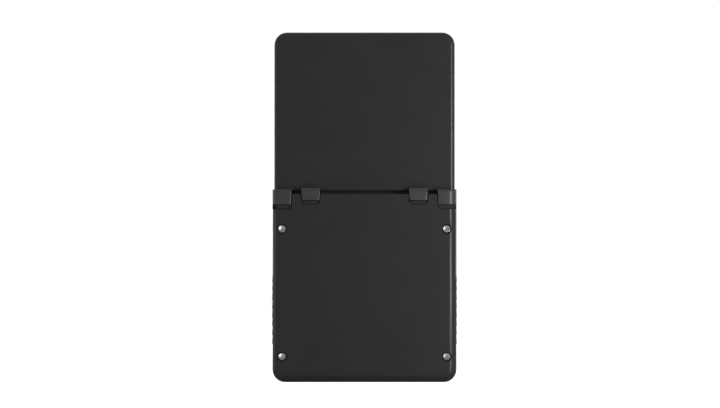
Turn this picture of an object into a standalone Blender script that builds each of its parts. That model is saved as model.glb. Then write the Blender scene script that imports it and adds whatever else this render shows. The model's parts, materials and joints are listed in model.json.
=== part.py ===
# Clamshell handheld game console, opened flat and standing on its bottom edge.
# Metres. +Z runs from the base up to the lid, +Y to the back covers, -Y to the screen
# and the controls, and +X to the player's right hand.

import math

import bmesh
import bpy
from mathutils import Matrix, Vector

# Base housing
base_width = 0.0850
base_height = 0.0867
base_depth = 0.0152
base_front_depth = 0.0064
base_corner_radius = 0.0058
base_top_radius = 0.0016
base_back_fillet = 0.0036
base_front_fillet = 0.0012
base_side_wall = 0.0018
base_face_wall = 0.0016
base_top_wall = 0.0015

# Lid housing
lid_width = 0.0835
lid_length = 0.0729
lid_depth = 0.0104
lid_front_depth = 0.0038
lid_corner_radius = 0.0058
lid_heel_radius = 0.0026
lid_back_fillet = 0.0020
lid_front_fillet = 0.0006
lid_wall = 0.0014

# Hinge
axis_below_top = 0.0060
lid_edge_above_axis = 0.0078
closed_gap = 0.0013
barrel_radius = 0.0052
barrel_wall = 0.00175
barrel_length = 0.0534
knuckle_length = 0.0125
knuckle_end_wall = 0.0015
knuckle_foot_step = 0.0002
trough_clearance = 0.0004
heel_clearance = 0.0004
running_clearance = 0.0001
neck_low_above_axis = 0.0020
shaft_radius = 0.0015
shaft_in_knuckle = 0.0090
shaft_in_cartridge = 0.0122
cartridge_length = 0.0145
bush_in_barrel = 0.0054
bush_in_knuckle = 0.0022
bush_wall = 0.00105

# Fits
seam = 0.0003
seat_gap = 0.0003
hole_clearance = 0.0003
overrun = 0.0010

# Screen
glass_width = 0.0800
glass_height = 0.0660
glass_thickness = 0.0009
glass_sink = 0.00015
glass_radius = 0.0030
glass_above_lid_edge = 0.0037
window_width = 0.0740
window_height = 0.0570
panel_width = 0.0769
panel_height = 0.0639
panel_thickness = 0.0030
bezel_plate = 0.0008

# Rear screws
screw_spread = 0.0758
screw_low_height = 0.01185
screw_below_top = 0.01605
screw_head_radius = 0.00172
screw_head_height = 0.0022
screw_rim_share = 0.6
screw_head_sink = 0.0004
screw_shank_radius = 0.0010
screw_length = 0.0095
counterbore_radius = 0.00225
boss_wall = 0.0010

# Outer and inner shoulder buttons
shoulder_slab = 0.0044
shoulder_skirt = 0.0006
shoulder_chamfer_top = 0.0003
shoulder_chamfer_low = 0.0010
shoulder_chamfer_share = 0.45
shoulder_travel = 0.0012
shoulder_clearance = 0.00045
shoulder_strip_depth = 0.0008
strip_groove_width = 0.0004
strip_groove_depth = 0.0007
shoulder_shelf = 0.0013
shoulder_side_wrap = 0.0017
outer_above_top = 0.0022
outer_length = 0.0069
outer_inside_top = 0.0336
outer_inside_taper = 0.0003
outer_solid_share = 0.681
outer_crease_share = 0.16
outer_corner_radius = 0.0015
outer_strip_run = 0.0023
outer_slot_width = 0.0020
outer_slot_setback = 0.0015
inner_above_top = 0.0029
inner_length = 0.0057
inner_near_top = 0.0205
inner_far_top = 0.0291
inner_near_taper = 0.0003
inner_far_taper = 0.0003
inner_solid_share = 0.772
inner_crease_share = 1 / 3
inner_strip_run = 0.0021
crease_depth = 0.0007
strip_corner_radius = 0.0020
stem_width = 0.0024
stem_depth = 0.0012
stem_from_slab_front = 0.0003
stem_foot_below_top = 0.0072
outer_stem_place = 0.0375
inner_stem_place = 0.0248
switch_board_near = 0.0210
switch_board_far = 0.0395
switch_board_front = 0.0040
switch_board_thickness = 0.0010
switch_width = 0.0040
switch_height = 0.0012

# Grip ribs
rib_count = 8
rib_low_height = 0.0178
rib_pitch = 0.00405
rib_proud = 0.00025
rib_front_setback = 0.0010
rib_back_setback = 0.0002
rib_root = 0.0042

# Front controls
control_height_share = 0.5767
control_spread = 0.0480
button_proud = 0.0010
button_travel = 0.0007
flange_thickness = 0.0008
flange_width = 0.0009
face_button_radius = 0.0041
face_button_offset = 0.0074
menu_below_top = 0.0252
menu_radius = 0.0026
option_height = 0.0270
option_spread = 0.0170
option_length = 0.0078
option_width = 0.0034
cap_edge = 0.0004

# Direction pad
pad_proud = 0.0006
pad_length = 0.0205
pad_arm = 0.0070
pad_clearance = 0.0005
pad_flange_radius = 0.0080
pad_flange_gap = 0.0007
pad_flange_thickness = 0.0007
pad_dish_radius = 0.0240
pad_dish_depth = 0.0005
pivot_radius = 0.0040
pivot_thickness = 0.0005

# Boards and mats
board_edge_gap = 0.0004
board_thickness = 0.0010
board_below_top = 0.0135
board_hole_clearance = 0.0005
mat_thickness = 0.0006
dome_height = 0.00065
dome_radius = 0.0022
dome_clearance = 0.00025
pad_dome_height = 0.0007
pad_dome_place = 0.0070
mat_margin = 0.0012

# Side controls
side_control_setback = 0.0010
side_control_depth = 0.0026
volume_below_top = 0.0277
volume_length = 0.0120
side_flange_margin = 0.0006
side_flange_gap = 0.0007
side_flange_thickness = 0.0007
side_cap_sink = 0.00005
power_below_top = 0.0262
power_length = 0.0080
reset_below_top = 0.0340
reset_length = 0.0024
side_travel = 0.0004
side_switch_depth = 0.0020
side_switch_share = 0.8

# Sockets on the bottom edge
socket_wall_gap = 0.0003
usb_place = 0.0015
usb_width = 0.00894
usb_height = 0.00316
usb_depth = 0.0073
usb_shell = 0.0003
tongue_share = 0.72
tongue_thickness = 0.0007
socket_opening_margin = 0.0003
video_place = 0.0135
video_width = 0.0106
video_height = 0.0030
video_depth = 0.0075
phone_place = 0.0255
phone_width = 0.0060
phone_height = 0.0050
phone_depth = 0.0120
phone_bore_radius = 0.0018
phone_ring_radius = 0.0026
card_places = (-0.0270, -0.0125)
card_width = 0.0118
card_height = 0.0018
card_depth = 0.0146
card_shell = 0.0003

# Speaker and status light
speaker_place = 0.0260
speaker_height = 0.0135
speaker_width = 0.0180
speaker_length = 0.0130
grille_slots = 6
grille_pitch = 0.0024
grille_slot_width = 0.0012
grille_slot_length = 0.0088
light_place = 0.0300
light_below_board_top = 0.0032
light_width = 0.0030
light_thickness = 0.0012
light_proud = 0.0001

# Battery and shield
battery_width = 0.0620
battery_shield_gap = 0.0017
battery_thickness = 0.0058
battery_low_height = 0.0168
battery_radius = 0.0020
shield_width = 0.0280
shield_height = 0.0130
shield_thickness = 0.0016
shield_below_board_top = 0.0017

# Rubber bumpers, magnet, lid screws and ribbon cable
bumper_radius = 0.0016
bumper_proud = 0.0009
bumper_seat = 0.0007
bumper_spread = 0.0740
bumper_height = 0.0055
magnet_radius = 0.0025
magnet_thickness = 0.0015
magnet_place = 0.0300
magnet_below_lid_top = 0.0100
lid_screw_spread = 0.0680
lid_screw_above_edge = 0.0016
lid_screw_head_radius = 0.0012
lid_screw_head_height = 0.0007
lid_screw_rim_share = 0.25
lid_screw_head_sink = 0.0002
lid_screw_shank_radius = 0.0006
lid_screw_length = 0.0050
ribbon_width = 0.0030
ribbon_thickness = 0.0003
ribbon_play = 0.0003
ribbon_lid_place = 0.0135
ribbon_base_place = 0.0315
ribbon_lid_depth = 0.0024
ribbon_lap = 0.0040

# Roundness
corner_steps = 6
fillet_steps = 5
small_steps = 3
barrel_steps = 40
button_steps = 28
screw_steps = 18

# Places that follow from the sizes above
axis_height = base_height - axis_below_top
outer_high_height = base_height + outer_above_top
outer_low_height = outer_high_height - outer_length
outer_strip_low_height = outer_low_height - outer_strip_run
outer_solid_height = outer_length * outer_solid_share
outer_crease = outer_length * outer_crease_share
inner_high_height = base_height + inner_above_top
inner_low_height = inner_high_height - inner_length
inner_strip_low_height = inner_low_height - inner_strip_run
inner_solid_height = inner_length * inner_solid_share
inner_crease = inner_length * inner_crease_share
stem_foot_height = base_height - stem_foot_below_top
board_top_height = base_height - board_below_top
control_height = base_height * control_height_share
menu_height = base_height - menu_below_top
light_height = board_top_height - light_below_board_top
volume_height = base_height - volume_below_top
power_height = base_height - power_below_top
reset_height = base_height - reset_below_top
shield_low_height = board_top_height - shield_below_board_top - shield_height
battery_high_height = shield_low_height - battery_shield_gap
back_y = (base_depth + closed_gap / 2 + barrel_radius) / 2
front_y = back_y - base_depth
axis_y = front_y - closed_gap / 2
parting_y = front_y + base_front_depth
rear_start_y = parting_y + seam
base_half = base_width / 2
front_inner_y = front_y + base_face_wall
rear_inner_y = back_y - base_face_wall
side_inner = base_half - base_side_wall
lid_half = lid_width / 2
lid_front_y = axis_y + closed_gap / 2
lid_back_y = lid_front_y + lid_depth
lid_parting_y = lid_front_y + lid_front_depth
lid_rear_start_y = lid_parting_y + seam
lid_inner_y = lid_back_y - lid_wall
lid_low = axis_height + lid_edge_above_axis
lid_high = lid_low + lid_length
heel_low = axis_height + barrel_radius + heel_clearance
barrel_half = barrel_length / 2
knuckle_start = barrel_half + seat_gap
knuckle_end = knuckle_start + knuckle_length
trough_radius = barrel_radius + trough_clearance
trough_back_y = axis_y + trough_radius
front_top = heel_low - seat_gap
bore_radius = barrel_radius - barrel_wall
bush_radius = bore_radius - running_clearance
screw_half_spread = screw_spread / 2
screw_heights = (screw_low_height, base_height - screw_below_top)
counterbore_floor_y = back_y - screw_head_sink - screw_head_height - seat_gap
boss_hole_radius = screw_shank_radius + hole_clearance
boss_radius = boss_hole_radius + boss_wall
board_y = (front_inner_y + seat_gap + flange_thickness + button_travel + dome_clearance
           + dome_height + mat_thickness + seat_gap)
board_back_y = board_y + board_thickness
mat_back_y = board_y - seat_gap
mat_front_y = mat_back_y - mat_thickness
board_edge = side_inner - board_edge_gap
board_low = base_side_wall + board_edge_gap
slab_front_y = back_y - shoulder_slab
skirt_front_y = back_y - shoulder_skirt
strip_floor_y = back_y - shoulder_strip_depth
groove_floor_y = strip_floor_y - strip_groove_depth
shelf_front_y = groove_floor_y - shoulder_shelf
control_half_spread = control_spread / 2
glass_low = lid_low + glass_above_lid_edge
glass_high = glass_low + glass_height
glass_centre = (glass_low + glass_high) / 2
glass_front_y = lid_front_y + glass_sink
glass_back_y = glass_front_y + glass_thickness
glass_floor_y = glass_back_y + seat_gap
panel_front_y = glass_floor_y + bezel_plate + seat_gap
panel_back_y = panel_front_y + panel_thickness
stem_front_y = slab_front_y + stem_from_slab_front
stem_back_y = stem_front_y + stem_depth
stem_centre_y = (stem_front_y + stem_back_y) / 2
switch_top = stem_foot_height - shoulder_travel - seat_gap
switch_board_top = switch_top - switch_height
switch_board_low = switch_board_top - switch_board_thickness
switch_board_back_y = rear_inner_y - seat_gap
side_control_y = rear_start_y + side_control_setback + side_control_depth / 2
side_flange_out = side_inner - side_flange_gap
side_flange_in = side_flange_out - side_flange_thickness
socket_y = board_back_y + seat_gap
outer_shoulder = (outer_inside_top, outer_inside_taper, base_half, 0, outer_low_height,
                  outer_high_height)
inner_shoulder = (inner_near_top, inner_near_taper, inner_far_top, inner_far_taper,
                  inner_low_height, inner_high_height)

# Finishes: colour, roughness and metallic value
finishes = {
    "shell": ((0.030, 0.030, 0.031), 0.48, 0.0),
    "button": ((0.040, 0.040, 0.041), 0.42, 0.0),
    "glass": ((0.008, 0.008, 0.010), 0.06, 0.0),
    "panel": ((0.015, 0.016, 0.020), 0.25, 0.0),
    "rubber": ((0.022, 0.022, 0.022), 0.80, 0.0),
    "silicone": ((0.110, 0.110, 0.115), 0.70, 0.0),
    "screw": ((0.640, 0.630, 0.600), 0.22, 1.0),
    "steel": ((0.420, 0.420, 0.430), 0.35, 1.0),
    "board": ((0.010, 0.055, 0.028), 0.45, 0.0),
    "battery": ((0.160, 0.165, 0.175), 0.45, 0.0),
    "ribbon": ((0.330, 0.140, 0.035), 0.45, 0.0),
    "light": ((0.700, 0.720, 0.740), 0.30, 0.0),
}


# Scene helpers


def clear_scene():
    for item in list(bpy.data.objects):
        bpy.data.objects.remove(item, do_unlink=True)


def new_collection(name):
    collection = bpy.data.collections.new(name)
    bpy.context.scene.collection.children.link(collection)
    return collection


clear_scene()
parts = new_collection("handheld_console")
cutters = new_collection("cutters")


def make_material(name, finish):
    colour, roughness, metallic = finishes[finish]
    material = bpy.data.materials.new(name + "_" + finish)
    material.use_nodes = True
    shader = material.node_tree.nodes["Principled BSDF"]
    shader.inputs["Base Color"].default_value = (*colour, 1.0)
    shader.inputs["Roughness"].default_value = roughness
    shader.inputs["Metallic"].default_value = metallic
    material.diffuse_color = (*colour, 1.0)
    return material


def add_part(name, shape, finish, round_piece=False):
    mesh = bpy.data.meshes.new(name)
    shape.to_mesh(mesh)
    shape.free()
    mesh.materials.append(make_material(name, finish))
    if round_piece:
        mesh.shade_smooth()
        mesh.set_sharp_from_angle(angle=math.radians(35))
    part = bpy.data.objects.new(name, mesh)
    parts.objects.link(part)
    return part


def add_tool(name, shape):
    mesh = bpy.data.meshes.new(name)
    shape.to_mesh(mesh)
    shape.free()
    tool = bpy.data.objects.new(name, mesh)
    tool.hide_render = True
    tool.display_type = "WIRE"
    cutters.objects.link(tool)
    return tool


def use_tool(target, name, shape, operation):
    modifier = target.modifiers.new(name, "BOOLEAN")
    modifier.operation = operation
    modifier.solver = "EXACT"
    modifier.use_self = True
    modifier.object = add_tool(target.name + "_" + name, shape)


def cut(target, name, shape):
    use_tool(target, name, shape, "DIFFERENCE")


def join(target, name, shape):
    use_tool(target, name, shape, "UNION")


def set_origin(part, point):
    part.data.transform(Matrix.Translation(-Vector(point)))
    part.location = point


def add_pivot(name, point):
    pivot = bpy.data.objects.new(name, None)
    pivot.location = point
    parts.objects.link(pivot)
    return pivot


def hang_on(part, pivot):
    part.parent = pivot
    part.location = part.location - pivot.location


# Shape helpers


def block(low, high):
    shape = bmesh.new()
    bmesh.ops.create_cube(shape, size=1.0)
    size = [far - near for near, far in zip(low, high)]
    centre = [(far + near) / 2 for near, far in zip(low, high)]
    bmesh.ops.scale(shape, vec=size, verts=shape.verts)
    bmesh.ops.translate(shape, vec=centre, verts=shape.verts)
    return shape


def round_edges(shape, wanted, radius, steps):
    edges = [edge for edge in shape.edges if wanted(edge.verts[0].co, edge.verts[1].co)]
    bmesh.ops.bevel(
        shape, geom=edges, offset=radius, offset_type="OFFSET", affect="EDGES",
        segments=steps, profile=0.5, clamp_overlap=True,
    )


def same(a, b):
    return abs(a - b) < overrun / 100


def runs_along(axis, first, second):
    return all(same(first[i], second[i]) for i in range(3) if i != axis)


def round_along(shape, axis, radius, steps, keep=None):
    def wanted(first, second):
        return runs_along(axis, first, second) and (keep is None or keep(first))
    round_edges(shape, wanted, radius, steps)


def round_rim(shape, axis, level, radius, steps, keep=None):
    def wanted(first, second):
        on_level = same(first[axis], level) and same(second[axis], level)
        return on_level and (keep is None or keep(first, second))
    round_edges(shape, wanted, radius, steps)


def cylinder(radius, start, end, axis, steps):
    shape = bmesh.new()
    span = end[axis] - start[axis]
    turn = {0: Matrix.Rotation(math.pi / 2, 4, "Y"), 1: Matrix.Rotation(-math.pi / 2, 4, "X"),
            2: Matrix.Identity(4)}[axis]
    centre = (Vector(start) + Vector(end)) / 2
    bmesh.ops.create_cone(
        shape, cap_ends=True, cap_tris=False, segments=steps, radius1=radius, radius2=radius,
        depth=abs(span), matrix=Matrix.Translation(centre) @ turn,
    )
    return shape


def slice_off(shape, point, normal):
    found = bmesh.ops.bisect_plane(
        shape, geom=shape.verts[:] + shape.edges[:] + shape.faces[:], plane_co=point,
        plane_no=normal, clear_outer=True,
    )
    edges = [item for item in found["geom_cut"] if isinstance(item, bmesh.types.BMEdge)]
    bmesh.ops.contextual_create(shape, geom=edges)
    bmesh.ops.recalc_face_normals(shape, faces=shape.faces)


def pill(low, high, axis, steps):
    # A block whose edges along one axis are rounded into half circles.
    shape = block(low, high)
    others = [i for i in range(3) if i != axis]
    radius = min(high[i] - low[i] for i in others) / 2
    round_along(shape, axis, radius - radius / button_steps, steps)
    return shape


def flat_shape(outline, low_y, high_y):
    # A closed outline of x and z points, given its thickness along y.
    curve = bpy.data.curves.new("outline", "CURVE")
    curve.dimensions = "2D"
    curve.fill_mode = "BOTH"
    curve.extrude = (high_y - low_y) / 2
    spline = curve.splines.new("POLY")
    spline.points.add(len(outline) - 1)
    for point, (x, z) in zip(spline.points, outline):
        point.co = (x, z, 0, 1)
    spline.use_cyclic_u = True
    holder = bpy.data.objects.new("outline", curve)
    cutters.objects.link(holder)
    bpy.context.view_layer.update()
    solid = holder.evaluated_get(bpy.context.evaluated_depsgraph_get())
    shape = bmesh.new()
    shape.from_mesh(bpy.data.meshes.new_from_object(solid))
    bpy.data.objects.remove(holder)
    bmesh.ops.remove_doubles(shape, verts=shape.verts, dist=running_clearance / 100)
    bmesh.ops.dissolve_limit(shape, angle_limit=math.radians(1), verts=shape.verts,
                             edges=shape.edges)
    stand = Matrix.Translation((0, (low_y + high_y) / 2, 0)) @ Matrix.Rotation(math.pi / 2, 4, "X")
    shape.transform(stand)
    bmesh.ops.recalc_face_normals(shape, faces=shape.faces)
    return shape


def turned_part(name, profile, steps, finish):
    # The profile runs down the outer side, from the axis at the top to the axis at the foot.
    mesh = bpy.data.meshes.new(name)
    points = [(radius, 0, height) for radius, height in profile]
    mesh.from_pydata(points, [(i, i + 1) for i in range(len(points) - 1)], [])
    mesh.materials.append(make_material(name, finish))
    part = bpy.data.objects.new(name, mesh)
    parts.objects.link(part)
    turn = part.modifiers.new("turn", "SCREW")
    turn.steps = steps
    turn.render_steps = steps
    turn.use_merge_vertices = True
    turn.merge_threshold = running_clearance / 100
    turn.use_smooth_shade = False
    return part


def mirror_x(point, side):
    return (side * point[0], point[1], point[2])


def side_block(side, low, high):
    near, far = sorted((side * low[0], side * high[0]))
    return block((near, low[1], low[2]), (far, high[1], high[2]))


# Base covers


def housing_block(low_y, high_y, half_width, low_z, high_z, low_radius, high_radius):
    shape = block((-half_width, low_y, low_z), (half_width, high_y, high_z))
    if low_radius:
        round_along(shape, 1, low_radius, corner_steps, lambda point: same(point.z, low_z))
    if high_radius:
        round_along(shape, 1, high_radius, corner_steps, lambda point: same(point.z, high_z))
    return shape


def not_on(level):
    return lambda first, second: not (same(first.z, level) and same(second.z, level))


def add_ribs(cover):
    tilt = math.atan2(rib_proud, rib_pitch)
    for side, label in ((1, "right"), (-1, "left")):
        for number in range(rib_count):
            low = (base_half - rib_root, rear_start_y + rib_front_setback, 0)
            high = (base_half, back_y - rib_back_setback, rib_pitch / math.cos(tilt))
            rib = block(low, high)
            round_along(rib, 2, base_back_fillet - rib_back_setback, fillet_steps,
                        lambda point: same(point.x, high[0]) and same(point.y, high[1]))
            turn = Matrix.Rotation(-tilt, 4, "Y")
            hold = Vector((base_half, 0, high[2]))
            place = Matrix.Translation((base_half, 0, rib_low_height + (number + 1) * rib_pitch))
            rib.transform(place @ turn @ Matrix.Translation(-hold))
            if side < 0:
                rib.transform(Matrix.Scale(-1, 4, (1, 0, 0)))
                bmesh.ops.reverse_faces(rib, faces=rib.faces)
            join(cover, "rib_" + label + "_" + str(number + 1), rib)


def add_shoulder_pockets(cover):
    for side, label in ((1, "right"), (-1, "left")):
        # Shelf behind each recessed strip
        shelf_low = outer_strip_low_height - shoulder_shelf
        shelf_high = outer_high_height - outer_solid_height - shoulder_travel - hole_clearance
        join(cover, "outer_shelf_" + label, side_block(
            side, (outer_inside_top - shoulder_shelf, shelf_front_y, shelf_low),
            (base_half - base_side_wall / 2, rear_inner_y + base_face_wall / 2, shelf_high)))
        inner_shelf_high = (inner_high_height - inner_solid_height - shoulder_travel
                            - hole_clearance)
        join(cover, "inner_shelf_" + label, side_block(
            side, (inner_near_top - shoulder_shelf, shelf_front_y,
                   inner_strip_low_height - shoulder_shelf),
            (inner_far_top + shoulder_shelf, rear_inner_y + base_face_wall / 2,
             inner_shelf_high)))
        # Deep opening that the thick part of the outer button moves in
        top = base_height + overrun
        deep = slab_front_y - hole_clearance
        cut(cover, "outer_opening_" + label, shoulder_outline(
            side, outer_shoulder, shoulder_clearance, deep, shelf_high, top))
        # Shallow strip that the skirt slides over, with a rounded inner corner
        cut(cover, "outer_strip_top_" + label, shoulder_outline(
            side, outer_shoulder, shoulder_clearance, strip_floor_y, outer_low_height, top))
        strip = side_block(
            side, (outer_inside_top - shoulder_clearance + outer_inside_taper, strip_floor_y,
                   outer_strip_low_height),
            (base_half + overrun, back_y + overrun, outer_low_height + overrun))
        round_along(strip, 1, strip_corner_radius, small_steps * 2,
                    lambda point: abs(point.x) < base_half
                    and same(point.z, outer_strip_low_height))
        cut(cover, "outer_strip_" + label, strip)
        add_strip_grooves(
            cover, "outer_" + label, side,
            (outer_inside_top - shoulder_clearance + outer_inside_taper, base_half + overrun,
             outer_strip_low_height, outer_low_height))
        # Open slot through the side wall
        cut(cover, "outer_slot_" + label, side_block(
            side, (base_half - outer_slot_width, deep, outer_strip_low_height),
            (base_half + overrun, back_y + overrun, top)))
        cut(cover, "outer_notch_" + label, side_block(
            side, (base_half - outer_slot_width, rear_start_y + outer_slot_setback,
                   outer_strip_low_height),
            (base_half + overrun, back_y + overrun, outer_low_height)))
        # Tapered opening and strip of the inner button
        cut(cover, "inner_opening_" + label, shoulder_outline(
            side, inner_shoulder, shoulder_clearance, deep, inner_shelf_high, top))
        cut(cover, "inner_strip_top_" + label, shoulder_outline(
            side, inner_shoulder, shoulder_clearance, strip_floor_y, inner_low_height, top))
        strip = side_block(
            side, (inner_near_top - shoulder_clearance + inner_near_taper, strip_floor_y,
                   inner_strip_low_height),
            (inner_far_top + shoulder_clearance - inner_far_taper, back_y + overrun,
             inner_low_height + overrun))
        round_along(strip, 1, strip_corner_radius, small_steps * 2,
                    lambda point: same(point.z, inner_strip_low_height))
        cut(cover, "inner_strip_" + label, strip)
        add_strip_grooves(
            cover, "inner_" + label, side,
            (inner_near_top - shoulder_clearance + inner_near_taper,
             inner_far_top + shoulder_clearance - inner_far_taper, inner_strip_low_height,
             inner_low_height))


def strip_edge(near, far, low, top, inset):
    # The rounded foot of a recessed strip, moved inwards by the inset.
    radius = strip_corner_radius - inset
    points = [(near + inset, top)]
    corners = [(near + strip_corner_radius, math.pi)]
    if far < base_half:
        corners.append((far - strip_corner_radius, -math.pi / 2))
    for centre, start in corners:
        for step in range(corner_steps + 1):
            turn = start + math.pi / 2 * step / corner_steps
            points.append((centre + radius * math.cos(turn),
                           low + strip_corner_radius + radius * math.sin(turn)))
    points.append((far - inset, top) if far < base_half else (far, low + inset))
    return points


def add_strip_grooves(cover, name, side, strip):
    # A fine groove round the foot of a strip, and one along the button's lower edge.
    near, far, low, edge = strip
    outline = strip_edge(near, far, low, edge, 0)
    outline += strip_edge(near, far, low, edge, strip_groove_width)[::-1]
    cut(cover, name + "_groove", flat_shape(
        [(side * x, z) for x, z in outline], groove_floor_y, strip_floor_y + overrun))
    cut(cover, name + "_line", side_block(
        side, (near + strip_groove_width, groove_floor_y, edge - strip_groove_width),
        (far - strip_groove_width, strip_floor_y + overrun, edge + strip_groove_width)))


def shoulder_outline(side, shoulder, margin, low_y, low_z, high_z):
    # Slab of a shoulder button with its slanted sides, or with a margin the opening for it.
    near, near_taper, far, far_taper, low_height, high_height = shoulder
    past = overrun if margin else 0
    far_edge = far + margin if far_taper else far + past
    shape = side_block(side, (near - margin, low_y, low_z), (far_edge, back_y + past, high_z))
    rise = high_height - low_height
    slice_off(shape, mirror_x((near - margin, 0, high_height), side),
              mirror_x((-rise, 0, -near_taper), side))
    if far_taper:
        slice_off(shape, mirror_x((far_edge, 0, high_height), side),
                  mirror_x((rise, 0, -far_taper), side))
    return shape


def make_rear_cover():
    shape = housing_block(rear_start_y, back_y, base_half, 0, base_height,
                          base_corner_radius, 0)
    round_rim(shape, 1, back_y, base_back_fillet, fillet_steps, not_on(base_height))
    cover = add_part("rear_cover", shape, "shell", True)
    add_ribs(cover)
    hollow = housing_block(rear_start_y - overrun, rear_inner_y, side_inner, base_side_wall,
                           base_height - base_top_wall, base_corner_radius - base_side_wall, 0)
    round_rim(hollow, 1, rear_inner_y, base_back_fillet - base_face_wall, small_steps,
              not_on(base_height - base_top_wall))
    cut(cover, "hollow", hollow)
    for height in screw_heights:
        for side, label in ((1, "right"), (-1, "left")):
            x = side * screw_half_spread
            tag = label + ("_low" if height == screw_low_height else "_high")
            join(cover, "boss_" + tag, cylinder(
                counterbore_radius + boss_wall, (x, board_back_y + seat_gap, height),
                (x, rear_inner_y + base_face_wall / 2, height), 1, screw_steps))
            cut(cover, "counterbore_" + tag, cylinder(
                counterbore_radius, (x, counterbore_floor_y, height),
                (x, back_y + overrun, height), 1, screw_steps))
            cut(cover, "screw_hole_" + tag, cylinder(
                boss_hole_radius, (x, board_back_y - overrun, height),
                (x, counterbore_floor_y + overrun / 2, height), 1, screw_steps))
    add_shoulder_pockets(cover)
    add_socket_openings(cover)
    add_side_openings(cover)
    return cover


def add_socket_openings(cover):
    low, high = -overrun, base_side_wall + overrun
    cut(cover, "usb_opening", pill(
        (usb_place - usb_width / 2 - socket_opening_margin, socket_y - socket_opening_margin,
         low),
        (usb_place + usb_width / 2 + socket_opening_margin,
         socket_y + usb_height + socket_opening_margin, high), 2, small_steps * 2))
    cut(cover, "video_opening", block(
        (video_place - video_width / 2 - socket_opening_margin,
         socket_y - socket_opening_margin, low),
        (video_place + video_width / 2 + socket_opening_margin,
         socket_y + video_height + socket_opening_margin, high)))
    phone_y = socket_y + phone_height / 2
    cut(cover, "phone_opening", cylinder(
        phone_ring_radius + hole_clearance, (phone_place, phone_y, low),
        (phone_place, phone_y, high), 2, screw_steps))
    for number, place in enumerate(card_places):
        cut(cover, "card_opening_" + str(number + 1), block(
            (place - card_width / 2 + card_shell, socket_y + card_shell, low),
            (place + card_width / 2 - card_shell, socket_y + card_height - card_shell, high)))


def side_control_block(side, middle, length, depth, near, far):
    return side_block(side, (near, side_control_y - depth / 2, middle - length / 2),
                      (far, side_control_y + depth / 2, middle + length / 2))


def add_side_openings(cover):
    controls = ((-1, "volume", volume_height, volume_length),
                (1, "power", power_height, power_length), (1, "reset", reset_height, reset_length))
    for side, name, middle, length in controls:
        cut(cover, name + "_opening", side_control_block(
            side, middle, length + 2 * hole_clearance, side_control_depth + 2 * hole_clearance,
            side_inner - overrun, base_half + overrun))


def make_front_cover():
    shape = housing_block(front_y, parting_y, base_half, 0, front_top,
                          base_corner_radius, base_top_radius)
    round_rim(shape, 1, front_y, base_front_fillet, small_steps)
    cover = add_part("front_cover", shape, "shell", True)
    hollow_top = axis_height - trough_radius - base_side_wall
    cut(cover, "hollow", housing_block(
        front_inner_y, parting_y + overrun, side_inner, base_side_wall, hollow_top,
        base_corner_radius - base_side_wall, 0))
    for side, label in ((1, "right"), (-1, "left")):
        start, end = sorted((side * knuckle_start, side * knuckle_end))
        join(cover, "knuckle_" + label, cylinder(
            barrel_radius, (start, axis_y, axis_height), (end, axis_y, axis_height), 0,
            barrel_steps))
        foot = barrel_radius - knuckle_foot_step
        join(cover, "knuckle_foot_" + label, block(
            (start, axis_y, axis_height - foot),
            (end, front_y + base_face_wall, axis_height + foot)))
    trough_half = barrel_half + seat_gap
    cut(cover, "trough", cylinder(
        trough_radius, (-trough_half, axis_y, axis_height), (trough_half, axis_y, axis_height),
        0, barrel_steps))
    cut(cover, "trough_mouth", block(
        (-trough_half, axis_y - trough_radius, axis_height),
        (trough_half, trough_back_y, front_top + overrun)))
    cut(cover, "shaft_bore", cylinder(
        shaft_radius + hole_clearance,
        (-knuckle_start - shaft_in_knuckle - hole_clearance, axis_y, axis_height),
        (-barrel_half + overrun, axis_y, axis_height), 0, barrel_steps))
    cut(cover, "bush_bore", cylinder(
        bush_radius + hole_clearance, (barrel_half - overrun, axis_y, axis_height),
        (knuckle_end - knuckle_end_wall, axis_y, axis_height), 0, barrel_steps))
    play = ribbon_width / 2 + ribbon_play
    cut(cover, "ribbon_slot", block(
        (ribbon_base_place - play, axis_y, axis_height - ribbon_thickness / 2 - ribbon_play),
        (ribbon_base_place + play, parting_y + overrun,
         axis_height + ribbon_thickness / 2 + ribbon_play)))
    add_front_bosses(cover)
    add_control_holes(cover)
    add_grille(cover)
    for side, label in ((1, "right"), (-1, "left")):
        x = side * bumper_spread / 2
        cut(cover, "bumper_seat_" + label, cylinder(
            bumper_radius + hole_clearance, (x, front_y - overrun, bumper_height),
            (x, front_y + bumper_seat + seat_gap, bumper_height), 1, screw_steps))
    return cover


def add_front_bosses(cover):
    for height in screw_heights:
        for side, label in ((1, "right"), (-1, "left")):
            x = side * screw_half_spread
            tag = label + ("_low" if height == screw_low_height else "_high")
            join(cover, "boss_" + tag, cylinder(
                boss_radius, (x, front_inner_y - base_face_wall / 2, height),
                (x, board_y - seat_gap, height), 1, screw_steps))
            cut(cover, "screw_hole_" + tag, cylinder(
                boss_hole_radius, (x, front_inner_y, height), (x, board_y + overrun, height), 1,
                screw_steps))


def add_control_holes(cover):
    low, high = front_y - overrun, front_inner_y + overrun
    for name, x, z, radius in round_controls():
        cut(cover, name + "_hole", cylinder(
            radius + hole_clearance, (x, low, z), (x, high, z), 1, button_steps))
    for name, x in option_places():
        cut(cover, name + "_hole", option_pill(x, hole_clearance, low, high))
    reach = pad_length / 2 + pad_clearance
    arm = pad_arm / 2 + pad_clearance
    for name, wide, tall in (("pad_hole_across", reach, arm), ("pad_hole_up", arm, reach)):
        cut(cover, name, block(
            (-control_half_spread - wide, low, control_height - tall),
            (-control_half_spread + wide, high, control_height + tall)))
    cut(cover, "light_hole", pill(
        (light_place - light_width / 2 - hole_clearance, low,
         light_height - light_thickness / 2 - hole_clearance),
        (light_place + light_width / 2 + hole_clearance, high,
         light_height + light_thickness / 2 + hole_clearance), 1, small_steps))


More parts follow.
